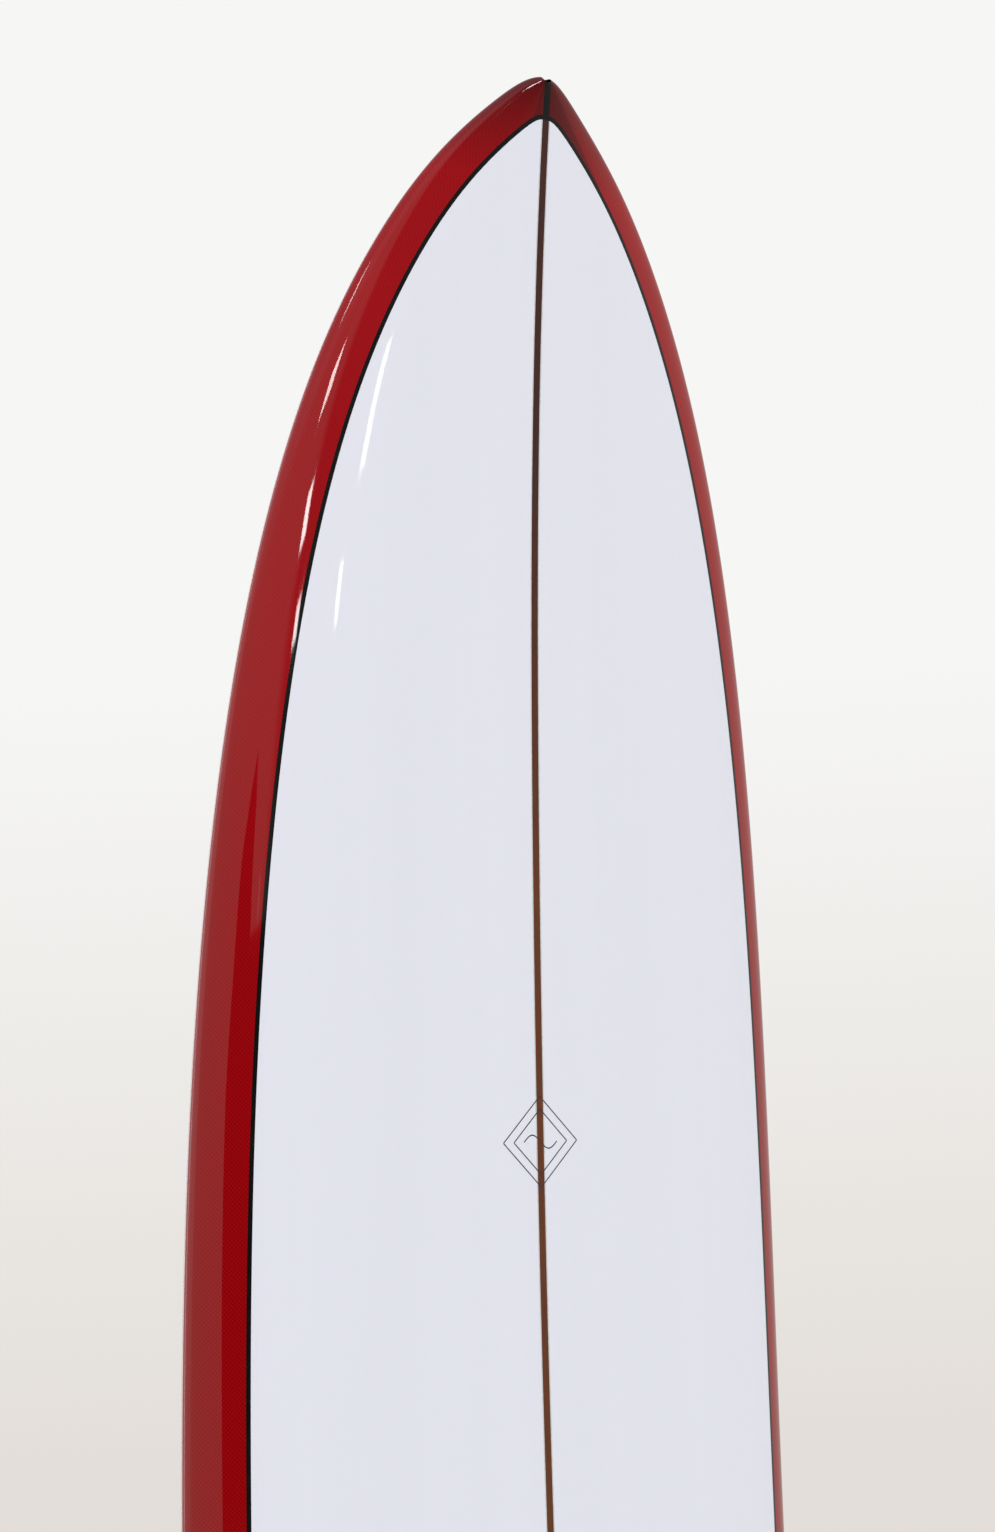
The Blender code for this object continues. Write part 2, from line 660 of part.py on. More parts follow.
fin_pocket = build_fin_box(looks, fin_mount)
plug_pocket = build_leash_plug(looks, plug_mount)
build_fin(looks, fin_carrier)
build_fin_screw(looks, fin_carrier)
build_blank(looks, (fin_pocket, plug_pocket))
box_hole = rounded_block('box_hole', BOX_WIDTH + 2 * GAP, -20, SKIN + 4, BOX_LENGTH + 2 * GAP, 0,
                         BOX_WIDTH / 2 + GAP - 0.4, None, fin_mount)
plug_hole = rod('plug_hole', PLUG_RADIUS + GAP, -SKIN - 4, 20, (0, 0, 0), 'Y', None, plug_mount)
build_skins(looks, box_hole, plug_hole)
bpy.context.view_layer.update()
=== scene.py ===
import math

import bmesh
import bpy
import numpy as np
from mathutils import Matrix, Vector

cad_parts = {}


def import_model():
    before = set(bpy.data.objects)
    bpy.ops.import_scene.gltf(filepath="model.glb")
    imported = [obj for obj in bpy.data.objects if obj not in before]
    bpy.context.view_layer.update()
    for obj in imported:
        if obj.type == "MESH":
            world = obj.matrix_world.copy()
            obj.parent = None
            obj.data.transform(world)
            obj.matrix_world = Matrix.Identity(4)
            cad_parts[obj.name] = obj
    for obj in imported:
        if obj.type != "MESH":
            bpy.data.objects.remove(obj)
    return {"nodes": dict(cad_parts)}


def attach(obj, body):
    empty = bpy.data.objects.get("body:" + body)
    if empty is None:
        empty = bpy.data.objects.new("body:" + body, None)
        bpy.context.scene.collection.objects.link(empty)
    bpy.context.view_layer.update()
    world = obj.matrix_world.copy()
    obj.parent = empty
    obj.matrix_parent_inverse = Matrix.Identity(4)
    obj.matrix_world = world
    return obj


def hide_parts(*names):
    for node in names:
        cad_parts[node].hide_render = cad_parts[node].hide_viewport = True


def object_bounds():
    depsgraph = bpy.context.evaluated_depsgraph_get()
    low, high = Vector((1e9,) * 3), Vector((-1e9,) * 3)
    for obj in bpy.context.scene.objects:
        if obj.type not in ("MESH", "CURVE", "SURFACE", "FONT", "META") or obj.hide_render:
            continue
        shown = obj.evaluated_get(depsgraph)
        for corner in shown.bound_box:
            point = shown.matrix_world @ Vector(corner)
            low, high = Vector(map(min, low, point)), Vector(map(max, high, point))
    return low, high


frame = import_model()
cad_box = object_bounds()

MM = 0.001

# Master curves of the blank, as in the CAD model: (mm from the nose, mm)
LENGTH = 2431.4
FLAT_SPOT = 1297.0
OUTLINE = [(0, 0), (20, 39), (60, 85.5), (120, 134.5), (220, 188), (380, 236), (560, 263), (760, 276.3),
           (960, 281.2), (1110, 282.7), (1400, 278.2), (1700, 256), (1950, 214), (2150, 159), (2300, 100),
           (2395, 45), (2431.4, 0)]
DECK_LINE = [(0, 129.4), (60, 121.4), (160, 110.4), (320, 97.4), (560, 84.4), (860, 73.9), (1110, 69.7),
             (1300, 69), (1500, 69.4), (1830, 71.4), (2130, 73.4), (2290, 73.9), (2380, 70.4), (2431.4, 65)]
THICKNESS = [(0, 0), (12, 6.5), (60, 14), (200, 29.5), (400, 45), (700, 61), (1110, 69.5), (1300, 69.8),
             (1400, 69.4), (1500, 67.5), (1830, 58.5), (2130, 42), (2290, 30), (2380, 17.5), (2431.4, 0)]
DECK_SQUARENESS = 2.8
DECK_DOME = 2.3
NOSE_SQUARENESS = 2.15
NOSE_DOME = 2.05
NOSE_FADE = 250.0
BOTTOM_SQUARENESS = 6.0
APEX_HEIGHT = 0.45
BOTTOM_FLAT = math.cos(math.radians(10))
BOTTOM_EASE = 0.35
SKIN = 3.3

# Lines on the finished surface
LAP_INSET = 26.0
NOSE_LAP_GAIN = 6.0
NOSE_LAP_REACH = 130.0
LAP_ROUNDING = 4.0
PINLINE_WIDTH = 3.2
STRINGER_HALF = 3.2
GLUE_HALF = 4.3

OUTER_INSET = LAP_INSET - PINLINE_WIDTH / 2
INNER_INSET = LAP_INSET + PINLINE_WIDTH / 2
NOSE_LINE_START = 0.4

# Fineness of the sheets: rows along the board, and columns across each band
ROWS = 400
FOAM_COLUMNS = 28
PINLINE_COLUMNS = 3
RAIL_COLUMNS = 80
BOTTOM_COLUMNS = 14
RAIL_END = 125.0
TIP_STEP = 0.004
EDGE_TIP_STEP = 0.002
LINE_SAMPLES = 6000
HALVINGS = 30
SMALLEST_ANGLE = 1e-4
NEAR_APEX = [0, 0.1, 0.3, 0.6, 1.0, 1.6, 2.4, 3.4, 4.6, 6, 7.6, 9.4, 11.4, 13.8, 16.6, 20, 24, 29, 35]

# Emblem: pencil lines between the glass and the gloss
EMBLEM_STATION = 707.0
EMBLEM_HALF_WIDTH = 36.0
EMBLEM_HALF_LENGTH = 30.0
EMBLEM_RINGS = (1.0, 0.72)
EMBLEM_WAVE = 4.5
EMBLEM_LINE = 0.85
EMBLEM_RISE = 0.03
WAVE_SHARE = 0.62
SIDE_POINTS = 13
WAVE_POINTS = 41

# Hardware, set into the tail
FIN_STATION = 2157.0
BOX_HALF_WIDTH = 0.0130
BOX_HALF_LENGTH = 0.1353
PLUG_STATION = 2352.0
PLUG_HALF_WIDTH = 0.0143
HOLE_REACH = 0.2
DECK_CENTRE = 0.001
BOTTOM_CENTRE = 179.999
ACROSS = Vector((1, 0, 0))

# Camera, matched to the outline of the board
CAMERA_PLACE = (-1.872, -1.788, 0.596)
CAMERA_TURN = (95.53, 2.57, -47.07)
CAMERA_LENS = 89.4
SENSOR = 36.0


class Curve:
    """Natural cubic through (station, value) pairs in the tip angle, so that tips close round."""

    def __init__(self, table, flat_ends):
        self.knots = tip_angle(np.array([s for s, _ in table], float))
        self.values = np.array([v for _, v in table], float)
        self.step = np.diff(self.knots)
        size = len(self.knots)
        system = np.zeros((size, size))
        target = np.zeros(size)
        slope = np.diff(self.values) / self.step
        for i in range(1, size - 1):
            system[i, i - 1:i + 2] = (self.step[i - 1], 2 * (self.step[i - 1] + self.step[i]), self.step[i])
            target[i] = 6 * (slope[i] - slope[i - 1])
        system[0, 0] = system[-1, -1] = 1
        if flat_ends:
            system[0, :2] = (2, 1)
            target[0] = 6 * slope[0] / self.step[0]
            system[-1, -2:] = (1, 2)
            target[-1] = -6 * slope[-1] / self.step[-1]
        self.bend = np.linalg.solve(system, target)

    def __call__(self, s):
        angle = tip_angle(np.asarray(s, float))
        i = np.clip(np.searchsorted(self.knots, angle) - 1, 0, len(self.step) - 1)
        a = (self.knots[i + 1] - angle) / self.step[i]
        b = 1 - a
        curve = ((a ** 3 - a) * self.bend[i] + (b ** 3 - b) * self.bend[i + 1]) * self.step[i] ** 2 / 6
        return a * self.values[i] + b * self.values[i + 1] + curve


def tip_angle(s):
    """Angle that runs from 0 at the nose to pi at the tail, and opens the round tips out."""
    return np.arccos(np.clip(1 - 2 * s / LENGTH, -1, 1))


def station_at(angle):
    """Distance from the nose at a tip angle."""
    return LENGTH / 2 * (1 - np.cos(angle))


outline = Curve(OUTLINE, False)
deck_line = Curve(DECK_LINE, True)
open_thickness = Curve(THICKNESS, False)


def bottom_line(s):
    """Height of the bottom; it eases out of the flat spot instead of starting with a crease."""
    rise = deck_line(s) - open_thickness(s)
    return (rise + np.sqrt(rise ** 2 + BOTTOM_EASE)) / 2


def section_point(s, angle):
    """Point of the blank; angle runs from 0 at the deck centre to 180 under the bottom (negative: left)."""
    fade = np.exp(-s / NOSE_FADE)
    squareness = DECK_SQUARENESS + (NOSE_SQUARENESS - DECK_SQUARENESS) * fade
    dome = DECK_DOME + (NOSE_DOME - DECK_DOME) * fade
    thick = deck_line(s) - bottom_line(s)
    apex = bottom_line(s) + APEX_HEIGHT * thick
    sine = np.abs(np.sin(np.radians(angle)))
    cosine = np.abs(np.cos(np.radians(angle)))
    on_deck = np.abs(angle) <= 90
    x = np.where(on_deck, sine ** (2 / squareness), sine ** (2 / BOTTOM_SQUARENESS))
    drop = (1 - cosine) / (1 - BOTTOM_FLAT)
    under = cosine + (1 - BOTTOM_FLAT) * (1 - np.exp(-drop))
    over = (1 - APEX_HEIGHT) * thick * cosine ** (2 / dome)
    h = apex + np.where(on_deck, over, -APEX_HEIGHT * thick * under)
    return np.stack([np.sign(angle) * x * outline(s), s + 0 * angle, h], axis=-1)


def skin(tip, angle, offset=SKIN):
    """Points and outward normals of the surface lying offset outside the blank."""
    tip, angle = np.broadcast_arrays(np.asarray(tip, float), np.asarray(angle, float))
    along = np.minimum(TIP_STEP, 0.5 * np.minimum(tip, math.pi - tip))
    ahead = section_point(station_at(tip + along), angle)
    behind = section_point(station_at(tip - along), angle)
    side, size = np.where(angle < 0, -1, 1), np.abs(angle)
    above = section_point(station_at(tip), side * np.maximum(size - 1, 0))
    below = section_point(station_at(tip), side * np.minimum(size + 1, 180))
    normal = np.cross(below - above, ahead - behind) * side[..., None]
    normal = normal / np.linalg.norm(normal, axis=-1, keepdims=True)
    return section_point(station_at(tip), angle) + offset * normal, normal


def world(points):
    """Board millimetres to row-frame metres."""
    return np.stack([points[..., 0], -(points[..., 2] + SKIN), FLAT_SPOT - points[..., 1]], axis=-1) * MM


def world_direction(vectors):
    return np.stack([vectors[..., 0], -vectors[..., 2], -vectors[..., 1]], axis=-1)


def inset_line(inset):
    """Dense (station, half width) samples of a line inside the outline; it nears the rail at the nose."""
    tip = np.linspace(EDGE_TIP_STEP, math.pi - EDGE_TIP_STEP, LINE_SAMPLES)
    ahead, behind = station_at(tip + EDGE_TIP_STEP), station_at(tip - EDGE_TIP_STEP)
    run = ahead - behind
    rise = outline(ahead) - outline(behind)
    reach = np.hypot(run, rise)
    depth = inset - NOSE_LAP_GAIN * np.exp(-station_at(tip) / NOSE_LAP_REACH)
    s = station_at(tip) + depth * rise / reach
    x = outline(station_at(tip)) - depth * run / reach
    middle = len(s) // 2
    bad = np.flatnonzero(x <= 0)
    first = bad[bad < middle].max() + 1 if (bad < middle).any() else 0
    last = bad[bad > middle].min() if (bad > middle).any() else len(s)
    s, x = s[first:last], x[first:last]
    rising = np.flatnonzero(np.concatenate([[True], np.diff(np.maximum.accumulate(s)) > 0]))
    s, x = s[rising], x[rising]
    nose_end = s[0] - x[0] * (s[1] - s[0]) / max(x[1] - x[0], 1e-9)
    tail_end = s[-1] + x[-1] * (s[-1] - s[-2]) / max(x[-2] - x[-1], 1e-9)
    s = nose_end + np.hypot(s - nose_end, LAP_ROUNDING * (s < LENGTH / 2))
    nose_end += LAP_ROUNDING
    return np.concatenate([[nose_end], s, [tail_end]]), np.concatenate([[0], x, [0]])


def line_half(inset, stations):
    """Half width of an inset line at the given stations, and 0 where there is none."""
    s, x = inset_line(inset)
    return np.interp(stations, s, x, left=0, right=0)


class Sheet:
    """Part of the finished surface: rows of points with their true normals and surface coordinates."""

    def __init__(self):
        self.bm = bmesh.new()
        self.outward = self.bm.verts.layers.float_vector.new("outward")
        self.arc = self.bm.verts.layers.float.new("arc")

    def band(self, rows, inner, outer, steps, side, start=0.0):
        """Grid between two section angles for the chosen rows; gives the arc length where it ends."""
        share = np.linspace(0, 1, steps + 1)
        angle = inner[rows, None] + (outer - inner)[rows, None] * share
        points, normals = skin(tips[rows, None] + 0 * angle, np.maximum(angle, SMALLEST_ANGLE) * side)
        points, normals = world(points), world_direction(normals)
        arc = np.linalg.norm(np.diff(points, axis=1), axis=-1).cumsum(axis=1)
        arc = np.concatenate([0 * arc[:, :1], arc], axis=1) + start
        grid = []
        for i in range(len(points)):
            row = [self.bm.verts.new(p) for p in points[i]]
            for j, vert in enumerate(row):
                vert[self.outward] = normals[i, j]
                vert[self.arc] = arc[i, j] * side
            grid.append(row)
        for low, high in zip(grid, grid[1:]):
            for j in range(steps):
                quad = (low[j], low[j + 1], high[j + 1], high[j])
                self.bm.faces.new(quad if side < 0 else quad[::-1])
        return arc[:, -1:]

    def punch(self, centre, axis, across, ring):
        """Cuts a convex hole, given as (across, along) metres round centre, out of the faces along axis."""
        along = across.cross(axis)
        self.bm.normal_update()
        inside = [f for f in self.bm.faces if (f.calc_center_median() - centre).length < HOLE_REACH
                  and f.normal.dot(axis) > 0.5]
        for (u0, v0), (u1, v1) in zip(ring, ring[1:] + ring[:1]):
            start = centre + across * u0 + along * v0
            run = across * (u1 - u0) + along * (v1 - v0)
            out = run.cross(axis).normalized()
            if out.dot(start - centre) < 0:
                out.negate()
            edges = {e for f in inside for e in f.edges}
            verts = {v for f in inside for v in f.verts}
            cut = bmesh.ops.bisect_plane(self.bm, geom=inside + list(edges) + list(verts), dist=1e-7,
                                         plane_co=start, plane_no=out)
            faces = [g for g in cut["geom"] if isinstance(g, bmesh.types.BMFace)]
            inside = [f for f in faces if (f.calc_center_median() - start).dot(out) < 0]
        bmesh.ops.delete(self.bm, geom=inside, context="FACES")

    def finish(self, name, material, stands_for, body="board"):
        """Turns the rows into a smooth piece that rides on a body and stands for CAD nodes."""
        bmesh.ops.remove_doubles(self.bm, verts=self.bm.verts, dist=1e-6)
        bmesh.ops.dissolve_degenerate(self.bm, edges=self.bm.edges, dist=1e-7)
        loose = [v for v in self.bm.verts if not v.link_faces]
        bmesh.ops.delete(self.bm, geom=loose, context="VERTS")
        normals = [Vector(v[self.outward]).normalized() for v in self.bm.verts]
        surface = self.bm.loops.layers.uv.new("surface")
        for face in self.bm.faces:
            for loop in face.loops:
                loop[surface].uv = (loop.vert[self.arc], loop.vert.co.z)
        mesh = bpy.data.meshes.new(name)
        self.bm.to_mesh(mesh)
        self.bm.free()
        mesh.shade_smooth()
        mesh.normals_split_custom_set_from_vertices(normals)
        mesh.attributes.remove(mesh.attributes["outward"])
        return add_piece(name, mesh, material, stands_for, body)


def add_piece(name, mesh, material, stands_for, body):
    """Piece that rides on a body in place of the CAD nodes it stands for."""
    piece = bpy.data.objects.new(name, mesh)
    bpy.context.scene.collection.objects.link(piece)
    mesh.materials.append(material)
    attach(piece, body)
    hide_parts(*stands_for)
    return piece


def shared_tips():
    """Tip angles of the rows that all sheets share, closer together where the pinline meets the stringer."""
    stations = list(station_at(np.linspace(0, math.pi, ROWS + 1)))
    for inset in (OUTER_INSET, INNER_INSET):
        s, _ = inset_line(inset)
        stations += [s[0] + d for d in NEAR_APEX] + [s[-1] - d for d in NEAR_APEX]
    stations += [NOSE_LINE_START, 1.5, 3.0, 5.0]
    stations = np.array(sorted(stations))
    stations = stations[np.concatenate([[True], np.diff(stations) > 0.05])]
    stations[-1] = LENGTH
    return tip_angle(stations)


tips = shared_tips()
stations = station_at(tips)
outer_half = line_half(OUTER_INSET, stations)
inner_half = line_half(INNER_INSET, stations)


def angle_at(tip, x):
    """Section angle, by halving, at which the finished deck is x from the centre."""
    low, high = 0 * x, 0 * x + 90
    for _ in range(HALVINGS):
        middle = (low + high) / 2
        beyond = skin(tip, np.maximum(middle, SMALLEST_ANGLE))[0][:, 0] > x
        low, high = np.where(beyond, low, middle), np.where(beyond, middle, high)
    return high


def edge(x):
    """Section angle at which the finished deck is x from the centre, for each station."""
    x = np.minimum(x + 0 * stations, outline(stations))
    return np.where(x > 0, angle_at(tips, x), 0)


def widen(rows):
    """The rows that are true, and one more at each end."""
    wide = rows.copy()
    wide[1:] |= rows[:-1]
    wide[:-1] |= rows[1:]
    return np.flatnonzero(wide)


def build_deck():
    """White foam under clear glass, with the stringer and its glue lines."""
    wood_half = np.minimum(inner_half, STRINGER_HALF)
    glue_half = np.minimum(inner_half, GLUE_HALF)
    for name, side, stands_for in (("left", -1, ["foam_left", "deck_lamination"]),
                                   ("right", 1, ["foam_right", "deck_cloth_patch", "deck_gloss_coat"])):
        foam = Sheet()
        rows = widen(inner_half > GLUE_HALF)
        foam.band(rows, edge(glue_half), edge(inner_half), FOAM_COLUMNS, side, GLUE_HALF * MM)
        cut_plug_hole(foam)
        foam.finish("deck_foam_" + name, looks["foam"], stands_for)
        glue = Sheet()
        glue.band(widen(inner_half > STRINGER_HALF), edge(wood_half), edge(glue_half), 1, side)
        cut_plug_hole(glue)
        glue.finish("glue_" + name, looks["glue"], ["glue_line_" + name])
    wood = Sheet()
    for side in (-1, 1):
        wood.band(widen(inner_half > 0), 0 * tips, edge(wood_half), 2, side)
    cut_plug_hole(wood)
    wood.finish("stringer_top", looks["wood"], ["stringer"])


def build_pinline():
    """Black line over the edge of the lap, on both sides."""
    line = Sheet()
    for side in (-1, 1):
        line.band(widen(outer_half > 0), edge(inner_half), edge(outer_half), PINLINE_COLUMNS, side)
    line.finish("pinline", looks["pinline"], ["deck_pinline"])


def build_nose_line():
    """Dark line over the stringer, from the pinline to the nose."""
    line = Sheet()
    rows = widen(outer_half < nose_line_half)
    for side in (-1, 1):
        line.band(rows, edge(outer_half), edge(np.maximum(outer_half, nose_line_half)), 2, side)
    line.finish("nose_line", looks["pinline"], ["nose_pinline"])


def build_emblem():
    """Thin pencil lines under the gloss: a lozenge inside another, with a wave across the inner one."""
    lines = []
    for scale in EMBLEM_RINGS:
        wide, long = EMBLEM_HALF_WIDTH * scale, EMBLEM_HALF_LENGTH * scale
        corners = [(0, -long), (wide, 0), (0, long), (-wide, 0), (0, -long)]
        for a, b in zip(corners, corners[1:]):
            lines.append([(a[0] + (b[0] - a[0]) * t, a[1] + (b[1] - a[1]) * t)
                          for t in np.linspace(0, 1, SIDE_POINTS)])
    reach = EMBLEM_HALF_WIDTH * EMBLEM_RINGS[-1] * WAVE_SHARE
    lines.append([(x, EMBLEM_WAVE * math.sin(math.pi * x / reach))
                  for x in np.linspace(-reach, reach, WAVE_POINTS)])
    bm = bmesh.new()
    outward = bm.verts.layers.float_vector.new("outward")
    for line in lines:
        line = np.array(line)
        along = np.gradient(line, axis=0)
        across = np.stack([-along[:, 1], along[:, 0]], axis=1)
        across = across / np.linalg.norm(across, axis=1, keepdims=True) * EMBLEM_LINE / 2
        sides = []
        for edge_line in (line - across, line + across):
            points, normals = deck_points(edge_line[:, 0], EMBLEM_STATION + edge_line[:, 1])
            row = [bm.verts.new(p) for p in points]
            for vert, normal in zip(row, normals):
                vert[outward] = normal
            sides.append(row)
        for i in range(len(line) - 1):
            bm.faces.new((sides[0][i], sides[0][i + 1], sides[1][i + 1], sides[1][i]))
    normals = [Vector(v[outward]).normalized() for v in bm.verts]
    for face in bm.faces:
        face.normal_update()
    bmesh.ops.reverse_faces(bm, faces=[f for f in bm.faces if f.normal.y > 0])
    mesh = bpy.data.meshes.new("emblem_lines")
    bm.to_mesh(mesh)
    bm.free()
    mesh.shade_smooth()
    mesh.normals_split_custom_set_from_vertices(normals)
    mesh.attributes.remove(mesh.attributes["outward"])
    add_piece("emblem_lines", mesh, looks["pencil"], ["emblem_decal"], "board")


def deck_points(x, s):
    """Points and normals of the finished deck at the given places, a hair above it."""
    tip = tip_angle(s)
    angle = np.maximum(angle_at(tip, np.abs(x)), SMALLEST_ANGLE)
    points, normals = skin(tip, angle * np.where(x < 0, -1, 1), SKIN + EMBLEM_RISE)
    return world(points), world_direction(normals)


def build_red_glass():
    """Red tinted glass: the deck outside the pinline, the rails and the bottom."""
    glass = Sheet()
    every = np.arange(len(tips))
    start = edge(np.maximum(outer_half, nose_line_half))
    for side in (-1, 1):
        arc = glass.band(every, start, 0 * tips + RAIL_END, RAIL_COLUMNS, side)
        glass.band(every, 0 * tips + RAIL_END, 0 * tips + 180, BOTTOM_COLUMNS, side, arc)
    cut_fin_box(glass)
    glass.finish("red_glass", looks["red"],
                 ["bottom_lamination", "rail_gloss_coat", "bottom_gloss_coat"])


def hole_ring(half_width, half_length, steps=24):
    """Stadium of the given half sizes, or a circle when they are equal."""
    straight = half_length - half_width
    ring = []
    for k in range(2 * steps):
        turn = math.pi * (k + 0.5) / steps
        shift = straight if math.sin(turn) > 0 else -straight
        ring.append((half_width * math.cos(turn), half_width * math.sin(turn) + shift))
    return ring


def centre_place(station, angle):
    """Point and outward direction of the finished surface on the centreline."""
    points, normals = skin(tip_angle(np.array([station])), np.array([angle]))
    return Vector(world(points)[0]), Vector(world_direction(normals)[0]).normalized()


def cut_fin_box(sheet):
    """Opens the bottom round the fin box."""
    centre, out = centre_place(FIN_STATION, BOTTOM_CENTRE)
    sheet.punch(centre, out, ACROSS, hole_ring(BOX_HALF_WIDTH, BOX_HALF_LENGTH))


def cut_plug_hole(sheet):
    """Opens the deck round the leash plug."""
    centre, out = centre_place(PLUG_STATION, DECK_CENTRE)
    sheet.punch(centre, out, ACROSS, hole_ring(PLUG_HALF_WIDTH, PLUG_HALF_WIDTH))


# Materials

def linear(*rgb):
    """Display colour, 0 to 255, to scene colour."""
    return tuple((c / 255 / 12.92) if c <= 10 else ((c / 255 + 0.055) / 1.055) ** 2.4 for c in rgb)


COAT_ROUGHNESS = 0.03
WEAVE_PITCH = 0.0014
WEAVE_SHARE = 0.7
THREAD_DEPTH = 0.00006
PRINT_THROUGH = 0.0000002
RED_CHANGE = (0.25, 0.8)
DARK_TIP = 0.07
# doubled cloth at the nose: side, reach per metre from the nose, reach at the tip, share of darkness
OVERLAPS = [(1.0, 0.9, 0.003, 0.55), (-1.0, 0.34, 0.0032, 0.45)]
OVERLAP_LENGTH = 0.12
OVERLAP_DECK = -0.126
SHARP_ANGLE = math.radians(32)
WHITE = linear(243, 245, 255)
WHITE_SHADE = tuple(0.985 * c for c in WHITE)
RED = linear(158, 6, 18)
RED_DEEP = linear(146, 1, 12)
RED_THREAD = linear(176, 16, 24)
RED_DARK = linear(60, 5, 8)
RED_BACK = linear(134, 0, 2)
GLUE = linear(228, 226, 224)
GLUE_SHADE = linear(205, 203, 203)
PLASTIC = linear(22, 22, 23)
PLASTIC_PALE = linear(34, 34, 35)
RESIN = linear(214, 214, 208)
RESIN_SHADE = linear(196, 196, 188)
FIN = linear(26, 30, 30)
FIN_THREAD = linear(58, 64, 62)
FIN_RING = linear(92, 98, 94)
FIN_LAYER = 0.0011
STEEL = linear(208, 208, 206)
STEEL_SHADE = linear(172, 172, 172)
BRASS = linear(214, 176, 104)
BRASS_SHADE = linear(184, 146, 80)
PENCIL = linear(44, 34, 38)
PENCIL_PALE = linear(88, 76, 82)
WOOD_LIGHT = linear(118, 68, 40)
WOOD_LIGHT_SHADE = linear(88, 42, 22)
WOOD_DARK = linear(78, 44, 40)
WOOD_DARK_SHADE = linear(52, 30, 28)
WOOD_CHANGE = (0.75, 1.05)
LINE = linear(24, 22, 22)
LINE_SHADE = linear(16, 15, 16)


def shader(name, **sockets):
    """Principled material with the given socket values; returns its node tree and shader too."""
    look = bpy.data.materials.new(name)
    look.use_nodes = True
    tree = look.node_tree
    bsdf = tree.nodes["Principled BSDF"]
    for socket, value in sockets.items():
        bsdf.inputs[socket.replace("_", " ")].default_value = value
    return look, tree, bsdf


def node(tree, kind, settings=None, **inputs):
    """First output of a new shader node; i0, i1 and so on name its inputs by number."""
    made = tree.nodes.new("ShaderNode" + kind)
    for key, value in (settings or {}).items():
        setattr(made, key, value)
    for key, value in inputs.items():
        socket = made.inputs[int(key[1:])] if key[0] == "i" and key[1:].isdigit() else made.inputs[key]
        if isinstance(value, bpy.types.NodeSocket):
            tree.links.new(value, socket)
        else:
            socket.default_value = value
    return made.outputs[0]


def math_node(tree, operation, a, b=0.0, clamp=False):
    return node(tree, "Math", {"operation": operation, "use_clamp": clamp}, i0=a, i1=b)


def ramp(tree, value, stops):
    """Colour ramp through (position, colour) stops."""
    made = tree.nodes.new("ShaderNodeValToRGB")
    tree.links.new(value, made.inputs[0])
    elements = made.color_ramp.elements
    while len(elements) < len(stops):
        elements.new(0.5)
    for element, (position, colour) in zip(elements, stops):
        element.position = position
        element.color = (*colour, 1)
    return made.outputs[0]


def mix(tree, share, a, b):
    """Colour between a and b; each is a colour or another node's output."""
    made = tree.nodes.new("ShaderNodeMix")
    made.data_type = "RGBA"
    for socket, value in ((made.inputs[0], share), (made.inputs[6], a), (made.inputs[7], b)):
        if isinstance(value, bpy.types.NodeSocket):
            tree.links.new(value, socket)
        elif isinstance(value, tuple):
            socket.default_value = (*value, 1)
        else:
            socket.default_value = value
    return made.outputs[2]


def rescale(tree, value, low, high, new_low=0.0, new_high=1.0):
    """Value moved from one range to another, and held at the new range's ends."""
    return node(tree, "MapRange", i0=value, i1=low, i2=high, i3=new_low, i4=new_high)


def axes(tree, place):
    """The three outputs of a place, split apart."""
    split = tree.nodes.new("ShaderNodeSeparateXYZ")
    tree.links.new(place, split.inputs[0])
    return split.outputs


def two_tone(tree, bsdf, value, shade, colour, low=0.3, high=0.7):
    """Base colour that runs from shade to colour as the value goes from low to high."""
    tree.links.new(ramp(tree, value, [(low, shade), (high, colour)]), bsdf.inputs["Base Color"])


def surface_place(tree):
    """Metres across and along the surface, from the sheet's own coordinates."""
    uv = tree.nodes.new("ShaderNodeUVMap")
    uv.uv_map = "surface"
    return uv.outputs[0]


def weave_height(tree, across, along):
    """Over and under of plain woven threads, -1 to 1, from two coordinates in metres."""
    waves = [math_node(tree, "SINE", math_node(tree, "MULTIPLY", value, math.pi / WEAVE_PITCH))
             for value in (across, along)]
    return math_node(tree, "MULTIPLY", *waves)


def noise(tree, place, scale, detail=4.0, stretch=(1, 1, 1)):
    moved = node(tree, "Mapping", Vector=place, Scale=stretch)
    return node(tree, "TexNoise", Vector=moved, Scale=scale, Detail=detail)


def object_place(tree):
    return tree.nodes.new("ShaderNodeTexCoord").outputs["Object"]


def add_bump(tree, bsdf, height, distance, socket="Normal"):
    bumped = node(tree, "Bump", Height=height, Distance=distance, Strength=1.0)
    tree.links.new(bumped, bsdf.inputs[socket])


def glassed(name, **sockets):
    """Under a polished clear coat: all the shine comes from the coat."""
    return shader(name, Roughness=0.6, Specular_IOR_Level=0.0, Coat_Weight=1.0, Coat_Roughness=COAT_ROUGHNESS,
                  Coat_IOR=1.5, **sockets)


def cloth_overlap(tree, across, forward, from_nose, side, slope, start):
    """1 inside the triangle of doubled cloth on one side of the nose's deck, and 0 elsewhere."""
    reach = node(tree, "Math", {"operation": "MULTIPLY_ADD"}, i0=from_nose, i1=slope, i2=start)
    outward = math_node(tree, "MULTIPLY", across, side)
    inside = math_node(tree, "LESS_THAN", outward, reach)
    near = math_node(tree, "LESS_THAN", from_nose, OVERLAP_LENGTH)
    on_side = math_node(tree, "GREATER_THAN", outward, 0.0)
    on_deck = math_node(tree, "LESS_THAN", forward, OVERLAP_DECK)
    return math_node(tree, "MULTIPLY", math_node(tree, "MULTIPLY", inside, near),
                     math_node(tree, "MULTIPLY", on_side, on_deck))


